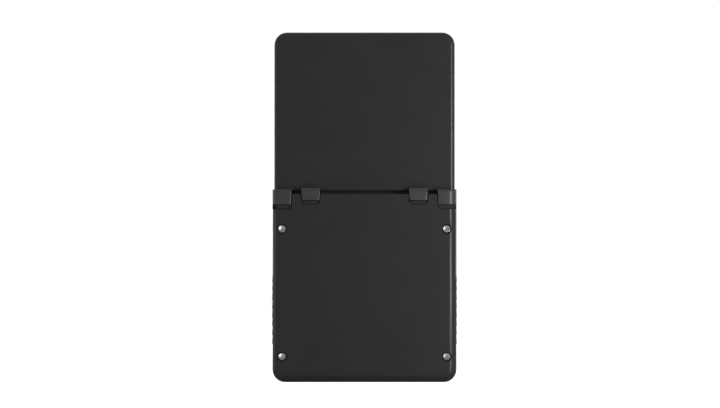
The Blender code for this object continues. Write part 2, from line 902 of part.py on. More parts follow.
def add_grille(cover):
    for number in range(grille_slots):
        x = speaker_place + (number - (grille_slots - 1) / 2) * grille_pitch
        cut(cover, "grille_slot_" + str(number + 1), pill(
            (x - grille_slot_width / 2, front_y - overrun, speaker_height - grille_slot_length / 2),
            (x + grille_slot_width / 2, front_inner_y + overrun,
             speaker_height + grille_slot_length / 2), 1, small_steps))


# Shoulder buttons


def chamfer_side(shape, side, edge, inward, low, high):
    # Slanted facet along a button's side edge, wider towards the button's foot.
    top = Vector((edge + inward * shoulder_chamfer_top, back_y, high))
    foot = Vector((edge + inward * shoulder_chamfer_low, back_y, low))
    under = Vector((edge, back_y - shoulder_chamfer_low * shoulder_chamfer_share, low))
    normal = (foot - top).cross(under - top)
    if normal.y < 0:
        normal.negate()
    slice_off(shape, mirror_x(top, side), mirror_x(normal, side))


def make_outer_shoulder(side, name):
    shape = shoulder_outline(side, outer_shoulder, 0, slab_front_y, outer_low_height,
                             outer_high_height)
    round_along(shape, 2, base_back_fillet, fillet_steps,
                lambda point: same(abs(point.x), base_half) and same(point.y, back_y))
    round_along(shape, 1, outer_corner_radius, small_steps,
                lambda point: abs(point.x) > base_half - overrun / 10
                and same(point.z, outer_high_height))
    slice_off(shape, (0, back_y, outer_high_height - outer_crease),
              (0, outer_crease, crease_depth))
    chamfer_side(shape, side, outer_inside_top, 1, outer_low_height, outer_high_height)
    button = add_part(name, shape, "button")
    solid_low = outer_high_height - outer_solid_height
    cut(button, "skirt", side_block(
        side, (outer_inside_top - overrun, slab_front_y - overrun, outer_low_height - overrun),
        (base_half - shoulder_side_wrap, skirt_front_y, solid_low)))
    join(button, "stem", stem(side * outer_stem_place, solid_low))
    return button


def make_inner_shoulder(side, name):
    shape = shoulder_outline(side, inner_shoulder, 0, slab_front_y, inner_low_height,
                             inner_high_height)
    slice_off(shape, (0, back_y, inner_high_height - inner_crease),
              (0, inner_crease, crease_depth))
    chamfer_side(shape, side, inner_near_top, 1, inner_low_height, inner_high_height)
    chamfer_side(shape, side, inner_far_top, -1, inner_low_height, inner_high_height)
    button = add_part(name, shape, "button")
    solid_low = inner_high_height - inner_solid_height
    cut(button, "skirt", side_block(
        side, (inner_near_top - overrun, slab_front_y - overrun, inner_low_height - overrun),
        (inner_far_top + overrun, skirt_front_y, solid_low)))
    join(button, "stem", stem(side * inner_stem_place, solid_low))
    return button


def stem(x, solid_low):
    return block((x - stem_width / 2, stem_front_y, stem_foot_height),
                 (x + stem_width / 2, stem_back_y, solid_low + overrun))


def make_shoulder_switch(side, name):
    shape = side_block(side, (switch_board_near, switch_board_front, switch_board_low),
                       (switch_board_far, switch_board_back_y, switch_board_top))
    board = add_part(name, shape, "board")
    for label, place in (("outer", outer_stem_place), ("inner", inner_stem_place)):
        join(board, label + "_switch", side_block(
            side, (place - switch_width / 2, 2 * stem_centre_y - switch_board_back_y,
                   switch_board_top - switch_board_thickness / 2),
            (place + switch_width / 2, switch_board_back_y - seat_gap, switch_top)))
    return board


# Front controls


def round_controls():
    x, z, step = control_half_spread, control_height, face_button_offset
    return (("button_a", x + step, z, face_button_radius),
            ("button_b", x, z - step, face_button_radius),
            ("button_x", x, z + step, face_button_radius),
            ("button_y", x - step, z, face_button_radius),
            ("menu_button", 0, menu_height, menu_radius))


def option_places():
    return (("select_button", -option_spread / 2), ("start_button", option_spread / 2))


def option_pill(x, margin, low, high):
    return pill((x - option_length / 2 - margin, low, option_height - option_width / 2 - margin),
                (x + option_length / 2 + margin, high, option_height + option_width / 2 + margin),
                1, small_steps * 2)


def button_levels():
    top = front_y - button_proud
    flange_front = front_inner_y + seat_gap
    return top, flange_front, flange_front + flange_thickness


def make_round_button(name, x, z, radius):
    top, flange_front, foot = button_levels()
    root = (flange_front + foot) / 2
    shape = cylinder(radius, (x, top, z), (x, root, z), 1, button_steps)
    round_rim(shape, 1, top, cap_edge, small_steps)
    button = add_part(name, shape, "button", True)
    join(button, "flange", cylinder(
        radius + flange_width, (x, flange_front, z), (x, foot, z), 1, button_steps))
    return button


def make_option_button(name, x):
    top, flange_front, foot = button_levels()
    shape = option_pill(x, 0, top, (flange_front + foot) / 2)
    round_rim(shape, 1, top, cap_edge, small_steps)
    button = add_part(name, shape, "button", True)
    join(button, "flange", option_pill(x, flange_width, flange_front, foot))
    return button


def make_pad():
    x, z = -control_half_spread, control_height
    top = front_y - pad_proud
    flange_front = front_inner_y + pad_flange_gap
    foot = flange_front + pad_flange_thickness
    reach, arm = pad_length / 2, pad_arm / 2
    corners = []
    for turn in range(4):
        for wide, tall in ((reach, -arm), (reach, arm), (arm, arm)):
            angle = Matrix.Rotation(turn * math.pi / 2, 2)
            across, up = angle @ Vector((wide, tall))
            corners.append((x + across, z + up))
    shape = flat_shape(corners, top, (flange_front + foot) / 2)
    round_rim(shape, 1, top, cap_edge, small_steps)
    bmesh.ops.triangulate(shape, faces=shape.faces)
    pad = add_part("dpad", shape, "button")
    join(pad, "flange", cylinder(
        pad_flange_radius, (x, flange_front, z), (x, foot, z), 1, button_steps))
    dish = bmesh.new()
    centre = Matrix.Translation((x, top + pad_dish_depth - pad_dish_radius, z))
    bmesh.ops.create_uvsphere(dish, u_segments=button_steps * 2, v_segments=button_steps,
                              radius=pad_dish_radius, matrix=centre)
    cut(pad, "dish", dish)
    return pad, foot


def make_pivot(foot):
    x, z = -control_half_spread, control_height
    front = foot + seat_gap
    shape = cylinder(pivot_radius, (x, front, z), (x, front + pivot_thickness, z), 1, button_steps)
    return add_part("dpad_pivot", shape, "steel", True), front + pivot_thickness


def make_mat(name, low, high, domes):
    shape = block((low[0], mat_front_y, low[1]), (high[0], mat_back_y, high[1]))
    round_along(shape, 1, dome_radius / 2, small_steps)
    mat = add_part(name, shape, "silicone")
    for number, (x, z, height) in enumerate(domes):
        join(mat, "dome_" + str(number + 1), cylinder(
            dome_radius, (x, mat_front_y - height, z), (x, mat_back_y - mat_thickness / 2, z), 1,
            screw_steps))
    return mat


def make_mats(pivot_back):
    x, z, step = control_half_spread, control_height, face_button_offset
    reach = step + dome_radius + mat_margin
    domes = [(place[1], place[2], dome_height) for place in round_controls()[:4]]
    make_mat("face_button_mat", (x - reach, z - reach), (x + reach, z + reach), domes)
    reach = pad_dome_place + dome_radius + mat_margin
    centre_post = mat_front_y - pivot_back - seat_gap
    domes = [(-x, z, centre_post)]
    for across, up in ((1, 0), (-1, 0), (0, 1), (0, -1)):
        domes.append((-x + across * pad_dome_place, z + up * pad_dome_place, pad_dome_height))
    make_mat("dpad_mat", (-x - reach, z - reach), (-x + reach, z + reach), domes)
    half = option_spread / 2
    reach = dome_radius + mat_margin
    domes = [(side * half, option_height, dome_height) for side in (-1, 1)]
    make_mat("start_select_mat", (-half - reach, option_height - reach),
             (half + reach, option_height + reach), domes)
    make_mat("menu_mat", (-reach, menu_height - reach), (reach, menu_height + reach),
             [(0, menu_height, dome_height)])


# Side controls


def make_side_control(name, side, middle, length):
    margin = side_flange_margin
    shape = side_control_block(side, middle, length, side_control_depth,
                               (side_flange_in + side_flange_out) / 2, base_half - side_cap_sink)
    round_along(shape, 0, side_control_depth / 3, small_steps)
    round_rim(shape, 0, side * (base_half - side_cap_sink), cap_edge / 2, small_steps - 1)
    control = add_part(name, shape, "button")
    join(control, "flange", side_control_block(
        side, middle, length + 2 * margin + 2 * hole_clearance,
        side_control_depth + 2 * margin, side_flange_in, side_flange_out))
    return control


def make_side_switch(name, side, middle, length):
    far = side_flange_in - side_travel - seat_gap
    depth = side_control_depth * side_switch_share
    shape = side_control_block(side, middle, length * side_switch_share, depth,
                               far - side_switch_depth, far)
    return add_part(name, shape, "steel")


# Inside the base


def make_board():
    shape = block((-board_edge, board_y, board_low), (board_edge, board_back_y, board_top_height))
    middle = (board_low + board_top_height) / 2
    round_along(shape, 1, base_corner_radius - base_side_wall, small_steps,
                lambda point: point.z < middle)
    board = add_part("main_board", shape, "board")
    for height in screw_heights:
        for side, label in ((1, "right"), (-1, "left")):
            x = side * screw_half_spread
            tag = label + ("_low" if height == screw_low_height else "_high")
            cut(board, "screw_hole_" + tag, cylinder(
                screw_shank_radius + board_hole_clearance, (x, board_y - overrun, height),
                (x, board_back_y + overrun, height), 1, screw_steps))
    return board


def make_battery():
    low_y = rear_inner_y - seat_gap - battery_thickness
    shape = block((-battery_width / 2, low_y, battery_low_height),
                  (battery_width / 2, low_y + battery_thickness, battery_high_height))
    round_along(shape, 0, battery_radius, small_steps)
    return add_part("battery", shape, "battery")


def make_shield():
    shape = block((-shield_width / 2, socket_y, shield_low_height),
                  (shield_width / 2, socket_y + shield_thickness,
                   shield_low_height + shield_height))
    round_along(shape, 1, cap_edge * 2, small_steps)
    return add_part("shield_can", shape, "steel")


def make_speaker():
    low_y = front_inner_y + seat_gap
    shape = block((speaker_place - speaker_width / 2, low_y, speaker_height - speaker_length / 2),
                  (speaker_place + speaker_width / 2, board_y - seat_gap,
                   speaker_height + speaker_length / 2))
    round_along(shape, 1, dome_radius / 2, small_steps)
    return add_part("speaker", shape, "rubber")


def make_light_guide():
    shape = pill((light_place - light_width / 2, front_y - light_proud,
                  light_height - light_thickness / 2),
                 (light_place + light_width / 2, board_y - seat_gap,
                  light_height + light_thickness / 2), 1, small_steps)
    return add_part("status_light_guide", shape, "light")


def make_plug_socket(name, place, width, height, depth, rounded):
    low = (place - width / 2, socket_y, socket_wall_gap)
    high = (place + width / 2, socket_y + height, socket_wall_gap + depth)
    shape = pill(low, high, 2, small_steps * 2) if rounded else block(low, high)
    socket = add_part(name, shape, "steel", rounded)
    inner_low = (low[0] + usb_shell, low[1] + usb_shell, low[2] - overrun)
    inner_high = (high[0] - usb_shell, high[1] - usb_shell, high[2] - usb_shell)
    hollow = pill(inner_low, inner_high, 2, small_steps * 2) if rounded else block(
        inner_low, inner_high)
    cut(socket, "mouth", hollow)
    middle = (low[1] + high[1]) / 2
    join(socket, "tongue", block(
        (place - width * tongue_share / 2, middle - tongue_thickness / 2,
         low[2] + socket_wall_gap),
        (place + width * tongue_share / 2, middle + tongue_thickness / 2,
         high[2] - usb_shell / 2)))
    return socket


def make_phone_socket():
    low_z = base_side_wall + socket_wall_gap
    middle = socket_y + phone_height / 2
    shape = block((phone_place - phone_width / 2, socket_y, low_z),
                  (phone_place + phone_width / 2, socket_y + phone_height, low_z + phone_depth))
    socket = add_part("headphone_socket", shape, "rubber")
    join(socket, "ring", cylinder(
        phone_ring_radius - socket_wall_gap, (phone_place, middle, socket_wall_gap),
        (phone_place, middle, low_z + overrun), 2, screw_steps))
    cut(socket, "bore", cylinder(
        phone_bore_radius, (phone_place, middle, -overrun),
        (phone_place, middle, low_z + phone_depth - overrun), 2, screw_steps))
    return socket


def make_card_slot(name, place):
    low_z = base_side_wall + socket_wall_gap
    low = (place - card_width / 2, socket_y, low_z)
    high = (place + card_width / 2, socket_y + card_height, low_z + card_depth)
    slot = add_part(name, block(low, high), "steel")
    cut(slot, "mouth", block(
        (low[0] + card_shell, low[1] + card_shell, low[2] - overrun),
        (high[0] - card_shell, high[1] - card_shell, high[2] - card_shell)))
    return slot


# Screws and bumpers


def dome_profile(radius, height, rim_share, shank_radius, length):
    # A domed head on a straight rim, then the shank with a blunt point.
    rim = height * rim_share
    points = [(0, height)]
    for step in range(1, small_steps + 2):
        turn = math.pi / 2 * step / (small_steps + 1)
        points.append((radius * math.sin(turn), rim + (height - rim) * math.cos(turn)))
    points.append((radius, 0))
    points.append((shank_radius, 0))
    points.append((shank_radius, -length + shank_radius))
    points.append((shank_radius / 2, -length))
    points.append((0, -length))
    return points


def make_screw(name, x, seat_y, z, backwards, sizes):
    screw = turned_part(name, dome_profile(*sizes), screw_steps, "screw")
    screw.rotation_euler = (math.pi / 2 if backwards else -math.pi / 2, 0, 0)
    screw.location = (x, seat_y, z)
    return screw


def make_bumper(name, side):
    x = side * bumper_spread / 2
    shape = cylinder(bumper_radius, (x, front_y - bumper_proud, bumper_height),
                     (x, front_y + bumper_seat, bumper_height), 1, screw_steps)
    round_rim(shape, 1, front_y - bumper_proud, cap_edge, small_steps)
    return add_part(name, shape, "rubber", True)


# Hinge


def make_shaft():
    start = -knuckle_start - shaft_in_knuckle
    end = -barrel_half + seat_gap + shaft_in_cartridge
    return add_part("hinge_shaft", cylinder(
        shaft_radius, (start, axis_y, axis_height), (end, axis_y, axis_height), 0, button_steps),
        "steel", True)


def make_bush():
    start, end = barrel_half - bush_in_barrel, knuckle_start + bush_in_knuckle
    shape = cylinder(bush_radius, (start, axis_y, axis_height), (end, axis_y, axis_height), 0,
                     barrel_steps)
    bush = add_part("hinge_bush", shape, "steel", True)
    cut(bush, "bore", cylinder(
        bush_radius - bush_wall, (start - overrun, axis_y, axis_height),
        (end + overrun, axis_y, axis_height), 0, button_steps))
    return bush


def make_cartridge():
    start = -barrel_half + seat_gap
    end = start + cartridge_length
    shape = cylinder(bore_radius - hole_clearance, (start, axis_y, axis_height),
                     (end, axis_y, axis_height), 0, button_steps)
    cartridge = add_part("hinge_cartridge", shape, "steel", True)
    cut(cartridge, "bore", cylinder(
        shaft_radius + running_clearance, (start - overrun, axis_y, axis_height),
        (start + shaft_in_cartridge + seat_gap, axis_y, axis_height), 0, button_steps))
    return cartridge


def make_ribbons():
    half, thin = ribbon_width / 2, ribbon_thickness / 2
    base_end = ribbon_base_place + half
    shape = block((barrel_half + seat_gap, axis_y - thin, axis_height - half),
                  (ribbon_base_place, axis_y + thin, axis_height + half))
    base = add_part("ribbon_base", shape, "ribbon")
    drop_y = parting_y + seat_gap + thin
    join(base, "crossing", block(
        (ribbon_base_place - half, axis_y, axis_height - thin),
        (base_end, drop_y + thin, axis_height + thin)))
    join(base, "drop", block(
        (ribbon_base_place - half, drop_y - thin, board_top_height - ribbon_lap),
        (base_end, drop_y + thin, axis_height)))
    shape = block((ribbon_lid_place, axis_y - thin, axis_height - half),
                  (barrel_half - seat_gap, axis_y + thin, axis_height + half))
    lid = add_part("ribbon_lid", shape, "ribbon")
    rise_y = lid_front_y + ribbon_lid_depth
    join(lid, "crossing", block(
        (ribbon_lid_place - half, axis_y, axis_height - thin),
        (ribbon_lid_place + half, rise_y + thin, axis_height + thin)))
    join(lid, "rise", block(
        (ribbon_lid_place - half, rise_y - thin, axis_height),
        (ribbon_lid_place + half, rise_y + thin, glass_centre - panel_height / 2 - seat_gap)))
    return base, lid


# Lid


def make_lid_rear_cover():
    shape = housing_block(lid_rear_start_y, lid_back_y, lid_half, lid_low, lid_high,
                          0, lid_corner_radius)
    round_rim(shape, 1, lid_back_y, lid_back_fillet, fillet_steps, not_on(lid_low))
    cover = add_part("lid_rear_cover", shape, "shell", True)
    hollow = housing_block(
        lid_rear_start_y - overrun, lid_inner_y, lid_half - lid_wall, lid_low + lid_wall,
        lid_high - lid_wall, 0, lid_corner_radius - lid_wall)
    round_rim(hollow, 1, lid_inner_y, lid_back_fillet - lid_wall, small_steps,
              not_on(lid_low + lid_wall))
    cut(cover, "hollow", hollow)
    for side, label in ((1, "right"), (-1, "left")):
        x, z = side * lid_screw_spread / 2, lid_low + lid_screw_above_edge
        hole = lid_screw_shank_radius + hole_clearance
        join(cover, "boss_" + label, cylinder(
            hole + boss_wall, (x, lid_rear_start_y, z + lid_wall / 2),
            (x, lid_inner_y + lid_wall / 2, z + lid_wall / 2), 1, screw_steps))
        cut(cover, "screw_hole_" + label, cylinder(
            hole, (x, lid_rear_start_y - overrun, z), (x, lid_rear_start_y + lid_screw_length, z),
            1, screw_steps))
    return cover


def make_lid_bezel():
    shape = housing_block(lid_front_y, lid_parting_y, lid_half, heel_low, lid_high,
                          lid_heel_radius, lid_corner_radius)
    round_rim(shape, 1, lid_front_y, lid_front_fillet, small_steps)
    bezel = add_part("lid_bezel", shape, "shell", True)
    cut(bezel, "glass_seat", glass_block(hole_clearance, lid_front_y - overrun, glass_floor_y))
    half_width, half_height = window_width / 2, window_height / 2
    cut(bezel, "window", block(
        (-half_width, glass_front_y, glass_centre - half_height),
        (half_width, lid_parting_y + overrun, glass_centre + half_height)))
    half_width = panel_width / 2 + hole_clearance
    half_height = panel_height / 2 + hole_clearance
    cut(bezel, "panel_seat", block(
        (-half_width, panel_front_y - seat_gap, glass_centre - half_height),
        (half_width, lid_parting_y + overrun, glass_centre + half_height)))
    join(bezel, "barrel", cylinder(
        barrel_radius, (-barrel_half, axis_y, axis_height), (barrel_half, axis_y, axis_height),
        0, barrel_steps))
    join(bezel, "neck", block(
        (-barrel_half, lid_front_y, axis_height + neck_low_above_axis),
        (barrel_half, lid_parting_y, heel_low + overrun)))
    cut(bezel, "barrel_bore", cylinder(
        bore_radius, (-barrel_half - overrun, axis_y, axis_height),
        (barrel_half + overrun, axis_y, axis_height), 0, barrel_steps))
    play = ribbon_width / 2 + ribbon_play
    rise_y = lid_front_y + ribbon_lid_depth
    thin = ribbon_thickness / 2 + ribbon_play
    cut(bezel, "ribbon_slot", block(
        (ribbon_lid_place - play, rise_y - thin, axis_height),
        (ribbon_lid_place + play, rise_y + thin, glass_centre - panel_height / 2 + overrun)))
    for side, label in ((1, "right"), (-1, "left")):
        x, z = side * lid_screw_spread / 2, lid_low + lid_screw_above_edge
        seat_y = lid_front_y + lid_screw_head_sink + lid_screw_head_height + seat_gap
        cut(bezel, "counterbore_" + label, cylinder(
            lid_screw_head_radius + hole_clearance, (x, lid_front_y - overrun, z),
            (x, seat_y, z), 1, screw_steps))
        cut(bezel, "screw_hole_" + label, cylinder(
            lid_screw_shank_radius + hole_clearance, (x, lid_front_y, z),
            (x, lid_parting_y + overrun, z), 1, screw_steps))
    return bezel


def glass_block(margin, low_y, high_y):
    shape = block((-glass_width / 2 - margin, low_y, glass_low - margin),
                  (glass_width / 2 + margin, high_y, glass_high + margin))
    round_along(shape, 1, glass_radius + margin, fillet_steps)
    return shape


def make_glass():
    return add_part("screen_glass", glass_block(0, glass_front_y, glass_back_y), "glass")


def make_panel():
    shape = block((-panel_width / 2, panel_front_y, glass_centre - panel_height / 2),
                  (panel_width / 2, panel_back_y, glass_centre + panel_height / 2))
    return add_part("display_panel", shape, "panel")


def make_magnet():
    z = lid_high - magnet_below_lid_top
    back = lid_inner_y - seat_gap
    return add_part("lid_magnet", cylinder(
        magnet_radius, (magnet_place, back - magnet_thickness, z), (magnet_place, back, z), 1,
        screw_steps), "steel", True)


# Assembly


def build_base():
    make_front_cover()
    make_rear_cover()
    make_board()
    make_battery()
    make_shield()
    make_speaker()
    make_light_guide()
    make_plug_socket("usb_socket", usb_place, usb_width, usb_height, usb_depth, True)
    make_plug_socket("video_socket", video_place, video_width, video_height, video_depth, False)
    make_phone_socket()
    for number, place in enumerate(card_places):
        make_card_slot("card_slot_" + str(number + 1), place)
    sizes = (screw_head_radius, screw_head_height, screw_rim_share, screw_shank_radius,
             screw_length)
    seat_y = counterbore_floor_y + seat_gap
    for number, (side, height) in enumerate(
            (side, height) for height in screw_heights for side in (-1, 1)):
        make_screw("rear_screw_" + str(number + 1), side * screw_half_spread, seat_y, height,
                   False, sizes)
    make_bumper("bumper_left", -1)
    make_bumper("bumper_right", 1)
    make_shaft()
    make_bush()


def build_controls():
    for name, x, z, radius in round_controls():
        make_round_button(name, x, z, radius)
    for name, x in option_places():
        make_option_button(name, x)
    pad, foot = make_pad()
    pivot, pivot_back = make_pivot(foot)
    centre = (-control_half_spread, foot + seat_gap, control_height)
    rocking = add_pivot("dpad_rocking_axis", centre)
    for part in (pad, pivot):
        hang_on(part, rocking)
    make_mats(pivot_back)
    for side, label in ((1, "right"), (-1, "left")):
        make_outer_shoulder(side, "shoulder_outer_" + label)
        make_inner_shoulder(side, "shoulder_inner_" + label)
        make_shoulder_switch(side, "shoulder_switch_" + label)
    rocker = make_side_control("volume_rocker", -1, volume_height, volume_length)
    set_origin(rocker, (-side_flange_in, side_control_y, volume_height))
    make_side_control("power_button", 1, power_height, power_length)
    make_side_control("reset_button", 1, reset_height, reset_length)
    make_side_switch("volume_switch", -1, volume_height, volume_length)
    make_side_switch("power_switch", 1, power_height, power_length)
    make_side_switch("reset_switch", 1, reset_height, reset_length)


def build_lid():
    axis = add_pivot("lid_hinge_axis", (0, axis_y, axis_height))
    pieces = [make_lid_rear_cover(), make_lid_bezel(), make_glass(), make_panel(), make_magnet(),
              make_cartridge()]
    sizes = (lid_screw_head_radius, lid_screw_head_height, lid_screw_rim_share,
             lid_screw_shank_radius, lid_screw_length)
    seat_y = lid_front_y + lid_screw_head_sink + lid_screw_head_height
    for side, label in ((1, "right"), (-1, "left")):
        pieces.append(make_screw("lid_screw_" + label, side * lid_screw_spread / 2, seat_y,
                                 lid_low + lid_screw_above_edge, True, sizes))
    pieces.append(make_ribbons()[1])
    for piece in pieces:
        hang_on(piece, axis)


build_base()
build_controls()
build_lid()
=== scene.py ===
import json
import math

import bpy
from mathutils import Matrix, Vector


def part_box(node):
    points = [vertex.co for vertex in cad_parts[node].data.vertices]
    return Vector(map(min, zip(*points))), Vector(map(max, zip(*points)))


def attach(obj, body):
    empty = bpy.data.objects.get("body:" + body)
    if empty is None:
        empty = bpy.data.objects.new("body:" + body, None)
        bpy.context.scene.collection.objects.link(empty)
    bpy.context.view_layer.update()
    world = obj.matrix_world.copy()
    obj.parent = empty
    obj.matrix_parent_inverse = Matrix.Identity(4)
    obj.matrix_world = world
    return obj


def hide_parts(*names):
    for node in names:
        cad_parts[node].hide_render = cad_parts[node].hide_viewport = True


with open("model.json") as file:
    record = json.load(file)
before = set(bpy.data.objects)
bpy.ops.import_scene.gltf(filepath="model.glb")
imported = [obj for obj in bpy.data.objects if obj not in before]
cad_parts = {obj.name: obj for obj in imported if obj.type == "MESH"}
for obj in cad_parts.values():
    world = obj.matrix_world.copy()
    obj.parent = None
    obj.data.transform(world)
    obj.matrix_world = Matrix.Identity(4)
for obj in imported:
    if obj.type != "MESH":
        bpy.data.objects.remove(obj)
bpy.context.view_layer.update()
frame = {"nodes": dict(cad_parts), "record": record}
nodes = frame["nodes"]
bodyOf = {node: body for body, held in frame["record"]["behaviour"]["bodies"].items()
          for node in held}

# the console stands on its bottom edge, opened flat, with its back covers towards the camera
# the front isn't seen in the photograph: its controls, screen and grille are ordinary ones
# lengths are in metres, +Z is up and +Y points out of the back covers


# small helpers for materials

def newMaterial(name, colour, roughness, metallic=0.0, specular=0.5):
    material = bpy.data.materials.new(name)
    material.use_nodes = True
    shader = shaderOf(material)
    shader.inputs["Base Color"].default_value = (*colour, 1.0)
    shader.inputs["Roughness"].default_value = roughness
    shader.inputs["Metallic"].default_value = metallic
    shader.inputs["Specular IOR Level"].default_value = specular
    material.diffuse_color = (*colour, 1.0)
    return material


def shaderOf(material):
    return material.node_tree.nodes["Principled BSDF"]


def addNode(material, kind, **settings):
    node = material.node_tree.nodes.new(kind)
    for name, value in settings.items():
        if name in node.inputs:
            node.inputs[name].default_value = value
        else:
            setattr(node, name, value)
    return node


def link(material, source, output, target, socket):
    material.node_tree.links.new(source.outputs[output], target.inputs[socket])


# detail and roughness of each kind of noise
noises = {"patches": (4.0, 0.55), "tint": (3.0, 0.5), "grain": (2.0, 0.6), "handled": (3.0, 0.6),
          "smears": (5.0, 0.65), "paper": (3.0, 0.5)}


def noiseOn(material, kind, scale, stretch=None):
    detail, roughness = noises[kind]
    place = addNode(material, "ShaderNodeTexCoord")
    noise = addNode(material, "ShaderNodeTexNoise", Scale=scale, Detail=detail, Roughness=roughness)
    if stretch:
        mapping = addNode(material, "ShaderNodeMapping", Scale=stretch)
        link(material, place, "Object", mapping, "Vector")
        link(material, mapping, "Vector", noise, "Vector")
    else:
        link(material, place, "Object", noise, "Vector")
    return noise


# noise values between these two are drawn out over the whole range
noiseSpan = {"roughness": (0.15, 0.85), "colour": (0.3, 0.7)}


def roughnessFrom(material, source, low, high):
    level = addNode(material, "ShaderNodeMapRange")
    start, end = noiseSpan["roughness"]
    for name, value in (("From Min", start), ("From Max", end), ("To Min", low), ("To Max", high)):
        level.inputs[name].default_value = value
    link(material, source, "Fac", level, "Value")
    link(material, level, "Result", shaderOf(material), "Roughness")


def colourFrom(material, source, dark, light):
    ramp = addNode(material, "ShaderNodeValToRGB")
    stops = ramp.color_ramp.elements
    for index, colour in enumerate((dark, light)):
        stops[index].position = noiseSpan["colour"][index]
        stops[index].color = (*colour, 1.0)
    link(material, source, "Fac", ramp, "Fac")
    link(material, ramp, "Color", shaderOf(material), "Base Color")


bevelSamples = 4


def grainFrom(material, source, strength, depth, edge=0.0):
    # edge is the radius, in metres, to which sharp moulded edges look rounded
    bump = addNode(material, "ShaderNodeBump", Strength=strength, Distance=depth)
    link(material, source, "Fac", bump, "Height")
    if edge:
        soft = addNode(material, "ShaderNodeBevel", Radius=edge)
        soft.samples = bevelSamples
        link(material, soft, "Normal", bump, "Normal")
    link(material, bump, "Normal", shaderOf(material), "Normal")


def lighter(colour, share):
    return tuple(channel * (1 + share) for channel in colour)


# moulded plastics: spark-eroded grain, a quarter of a millimetre from crest to crest

shellFinish = {
    "colour": (0.0116, 0.0116, 0.0118), "vary": 0.16, "patch": 55.0, "handled": 22.0,
    "grain": 4200.0, "depth": 0.000012, "strength": 0.30, "smooth": 0.27, "rough": 0.33,
    "specular": 0.17, "edge": 0.00018,
}
buttonFinish = {
    "colour": (0.0225, 0.0225, 0.0229), "vary": 0.12, "patch": 120.0, "handled": 48.0,
    "grain": 6000.0, "depth": 0.000008, "strength": 0.22, "smooth": 0.34, "rough": 0.42,
    "specular": 0.19, "edge": 0.00014,
}
capFinish = dict(buttonFinish, colour=(0.0230, 0.0230, 0.0235), smooth=0.30, rough=0.38,
                 specular=0.30)


def mouldedPlastic(name, finish):
    material = newMaterial(name, finish["colour"], finish["rough"], 0.0, finish["specular"])
    patches = noiseOn(material, "patches", finish["patch"])
    colourFrom(material, patches, finish["colour"], lighter(finish["colour"], finish["vary"]))
    grain = noiseOn(material, "grain", finish["grain"])
    grainFrom(material, grain, finish["strength"], finish["depth"], finish["edge"])
    handled = noiseOn(material, "handled", finish["handled"])
    roughnessFrom(material, handled, finish["smooth"], finish["rough"])
    return material


# plain finishes of the small and inner parts: colour, variation, patch scale, roughness range,
# metallic value, grain scale, depth and how far the grain is drawn out

plainFinishes = {
    "matRubber": ((0.020, 0.020, 0.020), 0.3, 300.0, (0.70, 0.85), 0.0, 5200.0, 0.00002, None),
    "keySilicone": ((0.110, 0.110, 0.115), 0.1, 200.0, (0.55, 0.70), 0.0, 3000.0, 0.00001, None),
    "brushedSteel": ((0.420, 0.420, 0.430), 0.1, 250.0, (0.28, 0.42), 1.0, 900.0, 0.000006,
                     (1.0, 1.0, 22.0)),
    "screwNickel": ((0.235, 0.232, 0.226), 0.1, 900.0, (0.24, 0.32), 1.0, 5000.0, 0.000004, None),
    "solderMask": ((0.010, 0.055, 0.028), 0.35, 350.0, (0.35, 0.50), 0.0, 1500.0, 0.00001, None),
    "batteryWrap": ((0.160, 0.165, 0.175), 0.1, 90.0, (0.35, 0.50), 0.0, 700.0, 0.00003, None),
    "ribbonFilm": ((0.330, 0.140, 0.035), 0.2, 600.0, (0.30, 0.45), 0.0, 2500.0, 0.000004,
                   (20.0, 1.0, 1.0)),
    "frostedGuide": ((0.700, 0.720, 0.740), 0.05, 900.0, (0.35, 0.50), 0.0, 4000.0, 0.00001, None),
    "speakerCloth": ((0.012, 0.012, 0.012), 0.5, 2600.0, (0.75, 0.90), 0.0, 4800.0, 0.00006, None),
}


plainStrength = 0.3
# the marks of handling are this many times wider than the patches
plainSpread = 3


def plainMaterial(name, facts):
    colour, vary, patch, (smooth, rough), metallic, grainScale, depth, stretch = facts
    material = newMaterial(name, colour, rough, metallic)
    colourFrom(material, noiseOn(material, "tint", patch), colour, lighter(colour, vary))
    grain = noiseOn(material, "grain", grainScale, stretch)
    grainFrom(material, grain, plainStrength, depth)
    handled = noiseOn(material, "handled", patch / plainSpread)
    roughnessFrom(material, handled, smooth, rough)
    return material


# the screen's cover glass: printed black round the edge, and the switched-off display behind it

glassFinish = {
    "ink": (0.0030, 0.0030, 0.0034), "display": (0.0075, 0.0080, 0.0100), "halfWidth": 0.0356,
    "halfHeight": 0.0267, "clean": 0.03, "smeared": 0.09, "smear": 28.0,
    "stretch": (1.0, 1.0, 0.35),
}


def screenMaterial(name, finish, centre):
    material = newMaterial(name, finish["ink"], finish["clean"])
    place = addNode(material, "ShaderNodeTexCoord")
    apart = addNode(material, "ShaderNodeSeparateXYZ")
    link(material, place, "Object", apart, "Vector")
    inside = []
    for axis, middle, half in (("X", centre.x, finish["halfWidth"]),
                               ("Z", centre.z, finish["halfHeight"])):
        within = addNode(material, "ShaderNodeMath", operation="COMPARE")
        link(material, apart, axis, within, 0)
        within.inputs[1].default_value = middle
        within.inputs[2].default_value = half
        inside.append(within)
    both = addNode(material, "ShaderNodeMath", operation="MULTIPLY")
    link(material, inside[0], "Value", both, 0)
    link(material, inside[1], "Value", both, 1)
    # a colour mix has its two colours at inputs 6 and 7, and its result at output 2
    mix = addNode(material, "ShaderNodeMix", data_type="RGBA")
    mix.inputs[6].default_value = (*finish["ink"], 1.0)
    mix.inputs[7].default_value = (*finish["display"], 1.0)
    link(material, both, "Value", mix, 0)
    link(material, mix, 2, shaderOf(material), "Base Color")
    smears = noiseOn(material, "smears", finish["smear"], finish["stretch"])
    roughnessFrom(material, smears, finish["clean"], finish["smeared"])
    return material


